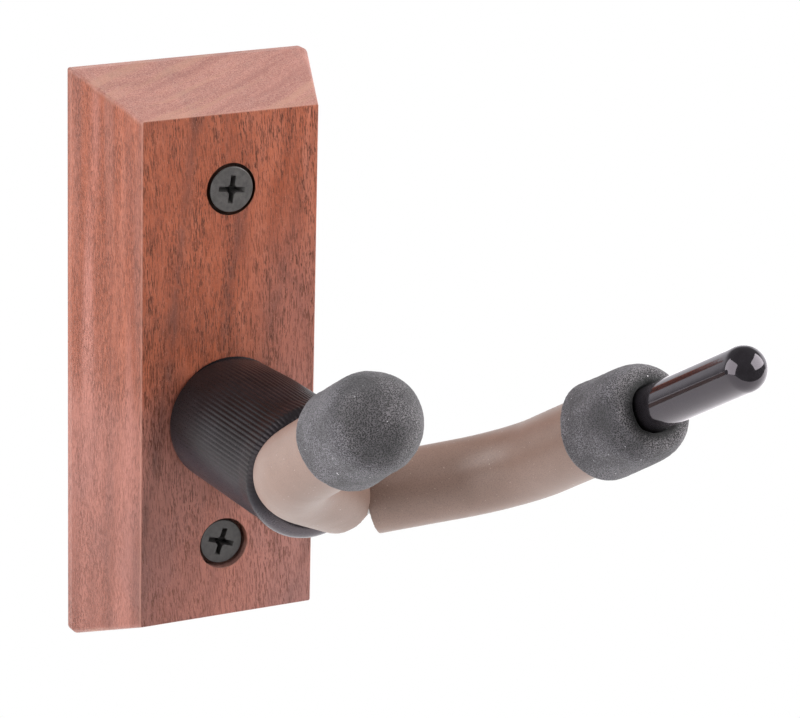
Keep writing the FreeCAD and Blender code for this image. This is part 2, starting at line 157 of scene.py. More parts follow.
def ring_frame(axis):
    """The unit axis and two unit vectors across it; the first of those points as nearly up as it can."""
    axis = np.array(axis, float)
    axis /= np.linalg.norm(axis)
    up = np.array((0.0, 0.0, 1.0))
    first = up - axis * (up @ axis)
    first /= np.linalg.norm(first)
    return axis, first, np.cross(axis, first)


def lathe(name, profile, columns, centre, axis, relief=None):
    """Turn a closed (radius, distance) outline in mm about an axis.

    relief(rows, angles) gives extra radius in mm; angle 0 is the top.
    """
    axis, first, second = ring_frame(axis)
    rows = np.array(profile, float)
    angles = np.linspace(0, FULL_TURN, columns, endpoint=False)
    radius = np.repeat(rows[:, :1], columns, axis=1)
    if relief is not None:
        radius = radius + relief(rows, angles)
    out = np.cos(angles)[:, None] * first + np.sin(angles)[:, None] * second
    offset = radius[:, :, None] * out + rows[:, 1][:, None, None] * axis
    points = np.array(centre, float) + offset * MM
    faces = []
    for row in range(len(rows)):
        below = row * columns
        above = (row + 1) % len(rows) * columns
        for column in range(columns):
            beside = (column + 1) % columns
            faces.append((below + column, below + beside, above + beside, above + column))
    mesh = bpy.data.meshes.new(name)
    mesh.from_pydata([tuple(p) for p in points.reshape(-1, 3)], [], faces)
    tidy_mesh(mesh)
    return new_object(name, mesh)


def tidy_mesh(mesh):
    """Merge doubled points and turn every face outward."""
    work = bmesh.new()
    work.from_mesh(mesh)
    bmesh.ops.remove_doubles(work, verts=work.verts, dist=MERGE_DISTANCE)
    bmesh.ops.recalc_face_normals(work, faces=work.faces)
    work.to_mesh(mesh)
    work.free()


def arc(centre, radius, start, end, steps):
    """Points of an arc in a (radius, distance) outline; 0 degrees points outward, 90 along the axis."""
    turns = np.radians(np.linspace(start, end, steps))
    return [(centre[0] + radius * math.cos(a), centre[1] + radius * math.sin(a)) for a in turns]


def straight(start, end, steps):
    """Evenly spaced points from start towards end, without the end point."""
    reach = np.array(end) - np.array(start)
    return [tuple(np.array(start) + reach * k / steps) for k in range(steps)]


def soft_copy(node, name, voxel, smoothing):
    """A dense, evenly meshed copy of a CAD node with its edges eased, in metres."""
    mesh = frame["nodes"][node].data.copy()
    mesh.transform(Matrix.Scale(1 / MM, 4))
    source = bpy.data.objects.new(name + "_source", mesh)
    bpy.context.scene.collection.objects.link(source)
    remesh = source.modifiers.new("voxels", "REMESH")
    remesh.mode = "VOXEL"
    remesh.voxel_size = voxel
    smooth = source.modifiers.new("ease", "SMOOTH")
    smooth.factor = 0.5
    smooth.iterations = smoothing
    graph = bpy.context.evaluated_depsgraph_get()
    result = bpy.data.meshes.new_from_object(source.evaluated_get(graph))
    result.name = name
    result.materials.clear()
    bpy.data.objects.remove(source)
    result.transform(Matrix.Scale(MM, 4))
    return new_object(name, result)


def push(obj, height):
    """Move every point of a mesh along its normal by height(points in mm, normals), in mm."""
    mesh = obj.data
    count = len(mesh.vertices)
    points = np.zeros(count * 3)
    normals = np.zeros(count * 3)
    mesh.vertices.foreach_get("co", points)
    mesh.vertex_normals.foreach_get("vector", normals)
    points = points.reshape(-1, 3)
    normals = normals.reshape(-1, 3)
    points = points + normals * (height(points / MM, normals) * MM)[:, None]
    mesh.vertices.foreach_set("co", points.ravel())
    mesh.update()


def lumps(points, size, seed):
    """Smooth noise of unit strength whose features are about size mm across."""
    shift = Vector([seed * step for step in SEED_STEP])
    return np.array([noise.noise(Vector(p) / size + shift) for p in points])


def rough_skin(points, layers):
    """Surface relief in mm: the sum of layers of lumps, each (height, size, seed)."""
    return sum(height * lumps(points, size, seed) for height, size, seed in layers)


# ---------------------------------------------------------------- material helpers
class Nodes:
    """A shader tree under construction: adds nodes and wires them by value."""

    def __init__(self, tree):
        self.tree = tree
        tree.nodes.clear()

    def add(self, kind, inputs=(), **settings):
        """Add a node with its inputs, by name or number, and its settings."""
        node = self.tree.nodes.new(kind)
        for key, value in settings.items():
            setattr(node, key, value)
        for key, value in dict(inputs).items():
            self.put(node.inputs[key], value)
        return node

    def put(self, socket, value):
        """Link a socket to another, or set its plain value."""
        if isinstance(value, bpy.types.NodeSocket):
            self.tree.links.new(value, socket)
        else:
            socket.default_value = value

    def vector(self, operation, a, b=None, scale=None):
        node = self.add("ShaderNodeVectorMath", {0: a}, operation=operation)
        if b is not None:
            self.put(node.inputs[1], b)
        if scale is not None:
            self.put(node.inputs["Scale"], scale)
        return node.outputs["Value" if operation in ("LENGTH", "DISTANCE", "DOT_PRODUCT") else "Vector"]

    def math(self, operation, a, b=0.0, clamp=False):
        return self.add("ShaderNodeMath", {0: a, 1: b}, operation=operation, use_clamp=clamp).outputs[0]

    def plus(self, *terms):
        total = terms[0]
        for term in terms[1:]:
            total = self.math("ADD", total, term)
        return total

    def times(self, *factors):
        product = factors[0]
        for factor in factors[1:]:
            product = self.math("MULTIPLY", product, factor)
        return product

    def minus(self, a, b):
        return self.math("SUBTRACT", a, b)

    def apart(self, a, b):
        """How far two values are apart."""
        return self.math("ABSOLUTE", self.minus(a, b))

    def parts(self, vector):
        return self.add("ShaderNodeSeparateXYZ", {0: vector}).outputs

    def join(self, x, y, z):
        return self.add("ShaderNodeCombineXYZ", {0: x, 1: y, 2: z}).outputs[0]

    def noise(self, vector, scale=1.0, detail=2.0, roughness=0.5):
        return self.add("ShaderNodeTexNoise", {
            "Vector": vector, "Scale": scale, "Detail": detail, "Roughness": roughness}).outputs["Fac"]

    def cells(self, vector, scale):
        """Distance to the nearest of many scattered points."""
        return self.add("ShaderNodeTexVoronoi", {"Vector": vector, "Scale": scale}).outputs["Distance"]

    def span(self, value, low, high, to_low=0.0, to_high=1.0):
        """Ease from to_low to to_high as the value goes from low to high."""
        node = self.add("ShaderNodeMapRange", {
            0: value, 1: low, 2: high, 3: to_low, 4: to_high}, interpolation_type="SMOOTHSTEP")
        return node.outputs[0]

    def ramp(self, value, stops):
        node = self.add("ShaderNodeValToRGB", {0: value})
        elements = node.color_ramp.elements
        while len(elements) < len(stops):
            elements.new(0.5)
        for element, (position, colour) in zip(elements, stops):
            element.position = position
            element.color = (*colour, 1.0)
        return node.outputs[0]

    def mix(self, share, a, b, mode="MIX"):
        node = self.add("ShaderNodeMix", data_type="RGBA", blend_type=mode)
        self.put(node.inputs[0], share)
        self.put(node.inputs[6], (*a, 1.0) if isinstance(a, tuple) else a)
        self.put(node.inputs[7], (*b, 1.0) if isinstance(b, tuple) else b)
        return node.outputs[2]

    def bump(self, height, distance, strength=1.0, normal=None):
        """A bumped normal; distance is in mm."""
        inputs = {"Height": height, "Distance": distance * MM, "Strength": strength}
        node = self.add("ShaderNodeBump", inputs)
        if normal is not None:
            self.put(node.inputs["Normal"], normal)
        return node.outputs[0]


class Look(Nodes):
    """A material under construction; place is the position on the object in mm."""

    def __init__(self, name):
        self.material = bpy.data.materials.new(name)
        self.material.use_nodes = True
        super().__init__(self.material.node_tree)
        coords = self.tree.nodes.new("ShaderNodeTexCoord").outputs["Object"]
        self.place = self.vector("SCALE", coords, scale=MM_PER_METRE)

    def squeezed(self, x, y, z):
        """The place with each axis scaled; a smaller number draws the pattern out along that axis."""
        return self.vector("MULTIPLY", self.place, (x, y, z))

    def facing(self):
        """The surface's direction in object space."""
        return self.add("ShaderNodeTexCoord").outputs["Normal"]

    def surface(self, **inputs):
        shader = self.add("ShaderNodeBsdfPrincipled")
        for key, value in inputs.items():
            socket = shader.inputs[key.replace("_", " ").title().replace("Ior", "IOR")]
            self.put(socket, (*value, 1.0) if isinstance(value, tuple) and len(value) == 3 else value)
        output = self.add("ShaderNodeOutputMaterial")
        self.tree.links.new(shader.outputs[0], output.inputs[0])
        return self.material


def paint(obj, material):
    """Give an object one material."""
    obj.data.materials.clear()
    obj.data.materials.append(material)


# ---------------------------------------------------------------- wood
class Wood(Look):
    """Open-grained reddish hardwood, built up in layers; most methods lay one layer over a colour."""

    PITH = (-24.0, 72.0, 0.0)           # the middle of the tree's rings, in mm
    RING_TONES = [                      # from dark to pale rings; every colour is linear red, green, blue
        (0.36, (0.220, 0.052, 0.022)),
        (0.46, (0.300, 0.076, 0.036)),
        (0.55, (0.380, 0.106, 0.054)),
        (0.66, (0.480, 0.155, 0.092)),
    ]
    # the next three colours are painted light: a sheen, a reflection of the floor and light beside the boot
    PINK = (0.375, 0.165, 0.136)
    DULL = (0.235, 0.105, 0.092)
    PALE = (0.500, 0.215, 0.175)
    STREAK = (0.120, 0.050, 0.040)
    STREAKS = [                         # x in mm at mid height, lean, half width in mm, strength
        (-12.6, 0.125, 2.2, 0.34),
        (6.6, 0.24, 2.0, 0.20),
        (-5.3, 0.285, 1.6, 0.08),
        (-2.0, 0.13, 1.8, 0.12),
        (28.3, 0.33, 2.2, 0.30),
    ]
    BEVEL_PALE = (0.520, 0.215, 0.170)
    BEVEL_DARK = (0.230, 0.100, 0.082)
    BEVEL_LOW = (0.240, 0.095, 0.072)
    SMUDGE = (0.175, 0.098, 0.096)
    PORE = (0.085, 0.024, 0.013)
    SPECK = (0.60, 0.28, 0.20)
    END_TONES = [
        (0.36, (0.270, 0.120, 0.104)),
        (0.48, (0.430, 0.222, 0.192)),
        (0.60, (0.610, 0.355, 0.305)),
    ]
    END_YELLOW = (0.540, 0.330, 0.245)
    END_PINK = (0.340, 0.168, 0.152)
    # painted highlight colour along the front edges
    RUBBED_EDGE = (0.50, 0.25, 0.19)
    DRILLED = (0.030, 0.012, 0.006)

    def __init__(self):
        super().__init__("walnut_wood")
        self.x, self.y, self.z = self.parts(self.place)
        self.slow = self.noise(self.squeezed(0.05, 0.05, 0.016))
        self.fast = self.noise(self.squeezed(0.25, 0.25, 0.060), detail=3.0)
        self.mottle = self.noise(self.squeezed(0.8, 0.8, 0.25), detail=3.0, roughness=0.6)
        from_pith = self.vector("DISTANCE", self.join(self.x, self.y, 0.0), self.PITH)
        self.ring = self.plus(from_pith, self.times(self.slow, 10.0), self.times(self.fast, 2.4))
        self.lift = self.times(self.z, 0.010)
        broad = self.noise(self.join(self.times(self.ring, 0.30), self.lift, 4.0))
        fine = self.noise(self.join(self.times(self.ring, 1.3), self.lift, 3.0), detail=3.0, roughness=0.6)
        rings = self.plus(self.times(broad, 0.55), self.times(fine, 0.25))
        self.tone = self.plus(rings, self.times(self.mottle, 0.20))
        self.from_side = self.minus(PLATE_HALF_WIDTH, self.math("ABSOLUTE", self.x))
        self.side_bevel = self.span(self.from_side, PLATE_BEVEL + BEVEL_BLUR, PLATE_BEVEL - BEVEL_BLUR)

    def on_bevel(self, amount):
        """An amount that acts on the side bevels only."""
        return self.times(self.side_bevel, amount)

    def off_bevel(self, loss):
        """1 on the face, less by loss on the side bevels."""
        return self.minus(1.0, self.times(self.side_bevel, loss))

    def rings(self):
        """Ring colours, with painted light: a pinker painted sheen to the right and low down, a duller
        painted reflection at the bottom, and painted light left of the boot, where its shadow falls.
        """
        colour = self.ramp(self.tone, self.RING_TONES)
        # painted sheen: the rings turn pinker to the right and low down
        right = self.times(self.span(self.x, 0.0, 14.0, 0.0, 0.45), self.span(self.z, 35.0, 10.0))
        painted_sheen = self.plus(right, self.span(self.z, 4.0, -14.0, 0.0, 0.45))
        colour = self.mix(painted_sheen, colour, self.PINK)
        # painted reflection: duller colour towards the bottom, standing in for the floor's reflection
        colour = self.mix(self.span(self.z, -12.0, -40.0, 0.0, 0.42), colour, self.DULL)
        # painted light: paler left of the boot, where the boot's shadow falls
        painted_light_beside_boot = self.times(self.span(self.z, -2.0, -12.0), self.span(self.z, -34.0, -22.0),
                                 self.span(self.x, -2.0, -7.0, 0.0, 0.40))
        return self.mix(painted_light_beside_boot, colour, self.PALE)

    def streaks(self, colour):
        """Grey-brown streaks: faint ones along the rings, and the plain ones that lean across the face."""
        wave = self.noise(self.join(self.times(self.ring, 0.30), self.lift, 9.0), detail=1.0)
        off_line = self.apart(wave, 0.5)
        streak = self.plus(self.span(off_line, 0.035, 0.004, 0.0, 0.16),
                           self.span(off_line, 0.11, 0.0, 0.0, 0.12))
        wander = self.times(self.minus(self.fast, 0.5), 3.0)
        for start, lean, width, strength in self.STREAKS:
            line = self.plus(self.minus(self.x, self.times(self.z, lean)), wander)
            off_line = self.apart(line, start)
            wide = self.span(off_line, width, 0.1 * width, 0.0, strength)
            core = self.span(off_line, 0.3 * width, 0.0, 0.0, 0.6 * strength)
            streak = self.plus(streak, wide, core)
        streak = self.times(streak, self.span(self.mottle, 0.25, 0.60, 0.30, 1.0), self.off_bevel(0.75))
        return self.mix(streak, colour, self.STREAK)

    def bevels(self, colour):
        """Long pale and dark bands on the side bevels, darker towards the bottom."""
        band_place = self.join(self.times(self.from_side, 0.42), self.times(self.z, 0.008), 2.0)
        band = self.noise(band_place, detail=1.0)
        colour = self.mix(self.on_bevel(self.span(band, 0.46, 0.60, 0.0, 0.75)), colour, self.BEVEL_PALE)
        colour = self.mix(self.on_bevel(self.span(band, 0.46, 0.36, 0.0, 0.45)), colour, self.BEVEL_DARK)
        return self.mix(self.on_bevel(self.span(self.z, 40.0, -25.0, 0.0, 0.42)), colour, self.BEVEL_LOW)

    def smudges(self, colour):
        """Soft greyish patches, mostly low on the plate."""
        smudge = self.noise(self.squeezed(0.10, 0.10, 0.06))
        smudge = self.times(self.span(smudge, 0.44, 0.62), self.span(self.z, -5.0, -30.0, 0.04, 0.22))
        return self.mix(smudge, colour, self.SMUDGE)

    def pores(self):
        """Strength of the pores: short dark dashes leaning a little off upright."""
        lean = self.times(self.z, self.math("ABSOLUTE", self.z), 0.0012)
        fibre = self.join(self.plus(self.x, lean), self.y, self.z)
        long_pore = self.noise(self.vector("MULTIPLY", fibre, (5.7, 5.7, 0.46)), roughness=0.55)
        short_pore = self.noise(self.vector("MULTIPLY", fibre, (6.9, 6.9, 0.90)), detail=1.0)
        patch = self.span(self.noise(self.squeezed(0.35, 0.35, 0.07)), 0.35, 0.65)
        long_pore = self.span(long_pore, 0.53, 0.62)
        short_pore = self.span(short_pore, 0.55, 0.67)
        pore = self.math("ADD", long_pore, short_pore, clamp=True)
        pore = self.times(pore, self.plus(0.50, self.times(patch, 0.38)))
        return self.times(pore, self.off_bevel(0.30), self.span(self.z, -5.0, -30.0, 1.0, 0.86))

    def specks(self, colour):
        """Small pale flecks."""
        speck = self.noise(self.squeezed(6.5, 6.5, 3.0), detail=1.0)
        return self.mix(self.span(speck, 0.58, 0.80, 0.0, 0.30), colour, self.SPECK)

    def end_grain(self, colour):
        """End grain on the top and bottom bevels, finely mottled with slanting rings; part of its paleness
        is painted sheen.
        """
        from_top = self.minus(PLATE_HALF_HEIGHT, self.math("ABSOLUTE", self.z))
        nearer = self.plus(self.minus(self.from_side, from_top), self.times(self.fast, 1.2))
        behind_face = self.span(self.y, PLATE_FRONT + 0.03, PLATE_FRONT + 0.13)
        off_back = self.span(self.y, -0.02, -0.10)
        share = self.times(self.span(nearer, -0.6, 1.2), behind_face, off_back)
        dots = self.noise(self.place, 4.2, roughness=0.7)
        pale = self.ramp(self.plus(self.times(dots, 0.7), self.times(self.tone, 0.3)), self.END_TONES)
        slant = self.minus(self.times(self.x, 0.16), self.times(self.y, 0.34))
        slant = self.plus(slant, self.times(self.slow, 1.6))
        rings = self.noise(self.join(slant, 0.0, self.times(self.x, 0.02)), roughness=0.55)
        pale = self.mix(self.span(rings, 0.50, 0.64, 0.0, 0.50), pale, self.END_YELLOW)
        pale = self.mix(self.span(rings, 0.47, 0.36, 0.0, 0.40), pale, self.END_PINK)
        # painted sheen: the pale end grain mixed in here partly stands in for light from above
        return self.mix(self.times(share, 0.72), colour, pale)

    def rubbed_edge(self, colour):
        """A painted highlight: a thin pale line where the face meets the bevels."""
        near_face = self.span(self.y, PLATE_FRONT + 0.01, PLATE_FRONT + 0.15)
        edge = self.times(near_face, self.span(self.y, PLATE_FRONT + 0.60, PLATE_FRONT + 0.30))
        return self.mix(self.times(edge, 0.35), colour, self.RUBBED_EDGE)

    def drilled_walls(self, colour):
        """Dark walls of the two screw holes, darker in the upper one; the lower hole is off centre."""
        off_row = self.minus(self.math("ABSOLUTE", self.z), SCREW_HALF_SPACING)
        off_centre = self.span(self.z, 1.0, -1.0, 0.0, LOWER_SCREW_SHIFT)
        from_screw = self.vector("LENGTH", self.join(self.minus(self.x, off_centre), off_row, 0.0))
        below_face = self.span(self.y, PLATE_FRONT + 0.02, PLATE_FRONT + 0.25)
        drilled = self.times(self.span(from_screw, SCREW_HOLE_R + 0.15, SCREW_HOLE_R + 0.03), below_face)
        share = self.times(drilled, self.span(self.z, -20.0, 20.0, 0.45, 0.95))
        return self.mix(share, colour, self.DRILLED)


def wood_look():
    """The plate's wood, layer by layer."""
    wood = Wood()
    colour = wood.rings()
    colour = wood.streaks(colour)
    colour = wood.bevels(colour)
    colour = wood.smudges(colour)
    pore = wood.pores()
    colour = wood.mix(pore, colour, wood.PORE)
    colour = wood.specks(colour)
    colour = wood.end_grain(colour)
    colour = wood.rubbed_edge(colour)
    colour = wood.drilled_walls(colour)
    normal = wood.bump(pore, -0.10, 0.7, wood.bump(wood.mottle, 0.05, 0.5))
    rough = wood.plus(0.36, wood.times(wood.mottle, 0.12))
    return wood.surface(base_color=colour, roughness=rough, normal=normal, specular_ior_level=0.25)


# ---------------------------------------------------------------- other materials
def screw_look():
    """Black phosphate steel with paler rubbed high spots; the sunk lower screw is darkened by painted
    shade.
    """
    shadow = (0.02, 0.018, 0.018)
    rubbed_steel = (0.26, 0.24, 0.23)
    look = Look("black_screw_steel")
    cloud = look.noise(look.place, 0.9, 4.0, 0.6)
    grit = look.noise(look.place, 7.0, 2.0, 0.6)
    height = look.parts(look.place)["Z"]
    colour = look.ramp(cloud, [(0.3, (0.060, 0.056, 0.055)), (0.7, (0.105, 0.098, 0.094))])
    colour = look.mix(look.span(grit, 0.62, 0.78, 0.0, 0.5), colour, rubbed_steel)
    # painted shade: the lower screw's colour is pulled towards dark
    colour = look.mix(look.span(height, 10.0, -10.0, 0.0, 0.5), colour, shadow)
    rough = look.span(grit, 0.3, 0.7, 0.36, 0.52)
    normal = look.bump(grit, 0.02, 0.5)
    return look.surface(base_color=colour, roughness=rough, metallic=0.35, normal=normal)


def zinc_look():
    """Clear zinc plating over turned steel: faint rings and cloudy patches."""
    look = Look("zinc_steel")
    cloud = look.noise(look.place, 0.5, 4.0, 0.6)
    along = look.parts(look.place)["Y"]
    lathe_marks = look.noise(look.join(0.0, look.times(along, 9.0), 0.0))
    colour = look.ramp(cloud, [(0.3, (0.46, 0.46, 0.45)), (0.7, (0.66, 0.66, 0.64))])
    rough = look.span(cloud, 0.3, 0.7, 0.24, 0.40)
    normal = look.bump(lathe_marks, 0.01, 0.4)
    return look.surface(base_color=colour, roughness=rough, metallic=1.0, normal=normal)


def bare_steel_look():
    """Drawn bar: fine lines along it, brownish handling stains."""
    stained = (0.20, 0.15, 0.12)
    look = Look("mild_steel")
    lines = look.noise(look.squeezed(6.0, 0.6, 6.0), detail=3.0, roughness=0.6)
    stain = look.noise(look.place, 0.35, 4.0, 0.6)
    colour = look.ramp(lines, [(0.3, (0.30, 0.30, 0.30)), (0.7, (0.48, 0.48, 0.47))])
    colour = look.mix(look.span(stain, 0.52, 0.75, 0.0, 0.45), colour, stained)
    rough = look.span(lines, 0.3, 0.7, 0.28, 0.46)
    normal = look.bump(lines, 0.01, 0.5)
    return look.surface(base_color=colour, roughness=rough, metallic=1.0, normal=normal)


def weld_look():
    """Heat-tinted weld metal with dull scale."""
    blue = (0.10, 0.10, 0.13)
    grey = (0.22, 0.20, 0.19)
    straw = (0.30, 0.22, 0.13)
    dull = (0.08, 0.07, 0.07)
    look = Look("weld_steel")
    heat = look.noise(look.place, 0.4, 3.0)
    scale = look.noise(look.place, 3.5, 3.0, 0.6)
    colour = look.ramp(heat, [(0.3, blue), (0.5, grey), (0.7, straw)])
    colour = look.mix(look.span(scale, 0.5, 0.75, 0.0, 0.6), colour, dull)
    rough = look.span(scale, 0.3, 0.7, 0.35, 0.65)
    normal = look.bump(scale, 0.06, 0.6)
    return look.surface(base_color=colour, roughness=rough, metallic=0.85, normal=normal)


def nylon_look():
    """Natural nylon, slightly uneven and waxy."""
    look = Look("nylon")
    cloud = look.noise(look.place, 1.1, 3.0)
    colour = look.ramp(cloud, [(0.3, (0.70, 0.69, 0.62)), (0.7, (0.84, 0.83, 0.77))])
    rough = look.span(cloud, 0.3, 0.7, 0.35, 0.5)
    normal = look.bump(cloud, 0.03, 0.4)
    return look.surface(base_color=colour, roughness=rough, normal=normal, subsurface_weight=0.1)


def black_rubber_look():
    """Matt black rubber, faintly pink in its shine, with painted light greying its underside; the lip's
    lower edge catches the light.
    """
    underside_painted_light = (0.030, 0.028, 0.034)
    dusty = (0.20, 0.18, 0.18)
    look = Look("black_rubber")
    where = look.parts(look.place)
    fine = look.noise(look.place, 4.5, 3.0, 0.65)
    bloom = look.noise(look.place, 0.16, 3.0)
    dust = look.noise(look.place, 3.0, 1.0)
    underside = look.span(look.parts(look.facing())["Z"], 0.10, -0.55)
    low_lip = look.times(look.span(where["Y"], -50.5, -52.5), look.span(where["Z"], -13.0, -19.0))
    colour = look.ramp(bloom, [(0.3, (0.0095, 0.0075, 0.0080)), (0.7, (0.0150, 0.0125, 0.0140))])
    # painted light: the downward-facing side is greyed, standing in for light from the floor
    colour = look.mix(underside, colour, underside_painted_light)
    colour = look.mix(look.span(dust, 0.74, 0.86, 0.0, 0.35), colour, dusty)
    rough = look.minus(look.span(fine, 0.3, 0.7, 0.26, 0.36), look.times(low_lip, 0.08))
    shine = look.plus(look.minus(0.15, look.times(underside, 0.03)), look.times(low_lip, 0.75))
    return look.surface(base_color=colour, roughness=rough, normal=look.bump(fine, 0.03, 0.6),
                        specular_ior_level=shine, specular_tint=(1.0, 0.86, 0.92))


def beige_rubber_look():
    """Matt taupe rubber tube: fine pores, faint clouds and dust specks."""
    in_pore = (0.140, 0.086, 0.067)
    dusty = (0.62, 0.52, 0.47)
    look = Look("beige_rubber")
    fine = look.noise(look.place, 5.6, 3.0, 0.65)
    cloud = look.noise(look.place, 0.22, 3.0)
    speck = look.noise(look.place, 2.6, 1.0)
    colour = look.ramp(cloud, [(0.3, (0.234, 0.149, 0.118)), (0.7, (0.262, 0.170, 0.136))])
    colour = look.mix(look.span(fine, 0.54, 0.34, 0.0, 0.60), colour, in_pore)
    colour = look.mix(look.span(speck, 0.74, 0.80, 0.0, 0.6), colour, dusty)
    rough = look.span(fine, 0.3, 0.7, 0.36, 0.48)
    normal = look.bump(fine, 0.03, 0.55)
    return look.surface(base_color=colour, roughness=rough, normal=normal, specular_ior_level=0.5)


class Foam(Look):
    """Charcoal closed-cell foam: smooth skin round the side, coarse cut cells on the arm's end face."""

    CUT_TONES = [
        (0.36, (0.003, 0.003, 0.003)),
        (0.46, (0.022, 0.020, 0.021)),
        (0.56, (0.074, 0.068, 0.071)),
        (0.68, (0.240, 0.222, 0.230)),
    ]
    SKIN_TONES = [
        (0.30, (0.006, 0.0055, 0.0065)),
        (0.45, (0.030, 0.027, 0.031)),
        (0.58, (0.067, 0.061, 0.070)),
        (0.74, (0.180, 0.168, 0.187)),
    ]
    CLOUD = (0.024, 0.022, 0.024)
    HOLLOW = (0.014, 0.013, 0.015)
    MOUTH = (0.004, 0.004, 0.004)
    DUST = (0.60, 0.58, 0.60)

    def __init__(self, name, arm_axis):
        super().__init__(name)
        self.arm_axis = arm_axis
        self.face = self.span(self.vector("DOT_PRODUCT", self.facing(), arm_axis), 0.30, 0.70)
        self.coarse = self.noise(self.place, 5.2, 3.0, 0.7)
        self.fine = self.noise(self.place, 6.5, 3.0, 0.7)
        cell = self.span(self.cells(self.place, 4.6), 0.10, 0.70)
        self.cut = self.plus(self.times(cell, 0.35), self.times(self.coarse, 0.65))
        self.skin = self.plus(self.times(cell, 0.40), self.times(self.fine, 0.60))

    def cells_and_skin(self, face_shade):
        """The foam's colour: skin round the side, cut cells on the face, darkened there as painted shade.
        """
        # painted shade: the cut face's colour is darkened here
        cut_colour = self.mix(1.0, self.ramp(self.cut, self.CUT_TONES), face_shade, "MULTIPLY")
        colour = self.mix(self.face, self.ramp(self.skin, self.SKIN_TONES), cut_colour)
        cloud = self.noise(self.place, 0.22, 3.0)
        return self.mix(self.span(cloud, 0.35, 0.65, 0.0, 0.50), colour, self.CLOUD)

    def hollows(self, colour, spots):
        """Painted shade in dimples, each (place, radius) in mm."""
        for spot, size in spots:
            away = self.vector("DISTANCE", self.place, spot)
            # painted shade in each dimple
            colour = self.mix(self.span(away, size, 0.3 * size, 0.0, HOLLOW_SHADE), colour, self.HOLLOW)
        return colour

    def mouth(self, colour, centre):
        """Painted shade in the opening: a dark, ragged-edged ring round the arm's axis."""
        offset = self.vector("SUBTRACT", self.place, centre)
        along = self.vector("SCALE", self.arm_axis, scale=self.vector("DOT_PRODUCT", offset, self.arm_axis))
        radius = self.vector("LENGTH", self.vector("SUBTRACT", offset, along))
        ragged = self.plus(radius, self.times(self.minus(self.coarse, 0.5), 3.0))
        # painted shade in the opening round the peg
        return self.mix(self.span(ragged, 6.6, 4.6, 0.0, 0.93), colour, self.MOUTH)

    def finished(self, colour):
        """The foam's material, with a few specks of dust on its colour."""
        dust = self.noise(self.place, 1.9, 0.0)
        colour = self.mix(self.span(dust, 0.850, 0.870, 0.0, 0.8), colour, self.DUST)
        height = self.mix(self.face, self.skin, self.cut)
        return self.surface(base_color=colour, roughness=self.span(self.fine, 0.3, 0.7, 0.70, 0.90),
                            normal=self.bump(height, 0.10, 0.8), sheen_weight=0.10, sheen_roughness=0.6)


def left_foam_look():
    """The closed cap's foam."""
    foam = Foam("charcoal_foam_left", LEFT_ARM_AXIS)
    colour = foam.cells_and_skin(LEFT_FACE_SHADE)
    return foam.finished(foam.hollows(colour, LEFT_HOLLOWS))


def right_foam_look():
    """The collar's foam, with painted shade in its mouth."""
    base, axis = arm_end()
    foam = Foam("charcoal_foam_right", tuple(axis))
    colour = foam.cells_and_skin(RIGHT_FACE_SHADE)
    colour = foam.hollows(colour, RIGHT_HOLLOWS)
    return foam.finished(foam.mouth(colour, tuple(base / MM)))


def gloss_look():
    """Glossy black dipped vinyl with faint orange peel and hairline scuffs."""
    look = Look("gloss_vinyl")
    peel = look.noise(look.place, 0.55)
    scuff = look.noise(look.squeezed(1.0, 0.25, 1.0), 5.0, 4.0, 0.7)
    colour = look.ramp(peel, [(0.3, (0.010, 0.009, 0.010)), (0.7, (0.016, 0.015, 0.017))])
    rough = look.span(scuff, 0.55, 0.85, 0.085, 0.20)
    return look.surface(base_color=colour, roughness=rough, normal=look.bump(peel, 0.05, 0.25),
                        coat_weight=0.36, coat_roughness=0.05, coat_tint=(1.0, 0.88, 0.98),
                        specular_tint=(1.0, 0.90, 1.0))


# ---------------------------------------------------------------- pieces
def boot_relief(rows, angles):
    """Ribs along the boot, weak next to the plate and along the bottom, and the sag of its top."""
    length = rows[:, 1].max()
    outside = rows[:, 0] > BOOT_BASE_R - BOOT_FOOT_ROUND
    ribbed = outside | (rows[:, 1] >= length - BOOT_LIP_ROUND)
    rise = np.clip(rows[:, 1] / RIB_FADE_LENGTH, 0, 1)
    rise = rise * rise * (3 - 2 * rise)
    inner = BOOT_WAIST_R - RIB_LIP_START * BOOT_LIP_ROUND
    over_lip = np.clip((rows[:, 0] - inner) / BOOT_LIP_ROUND, 0, 1)
    along = np.where(ribbed, rise * over_lip, 0)
    around = np.clip(RIB_SIDE_SHARE + RIB_TOP_GAIN * np.cos(angles), RIB_LEAST_SHARE, 1)
    crest = (0.5 + 0.5 * np.cos(RIB_COUNT * angles)) ** RIB_CREST
    drift = np.array([noise.noise(Vector((a * RIB_DRIFT_RATE, *RIB_DRIFT_SEED))) for a in angles])
    uneven = 1 - RIB_UNEVEN / 2 + RIB_UNEVEN * drift
    grooves = RIB_HEIGHT * along[:, None] * (around * uneven * (1 - crest))[None, :]
    near_plate = np.where(outside, np.clip(1 - rows[:, 1] / BOOT_FLAT_LENGTH, 0, 1), 0)
    sag = BOOT_FLAT_DEPTH * near_plate[:, None] * (np.clip(np.cos(angles), 0, 1) ** 2)[None, :]
    return -grooves - sag


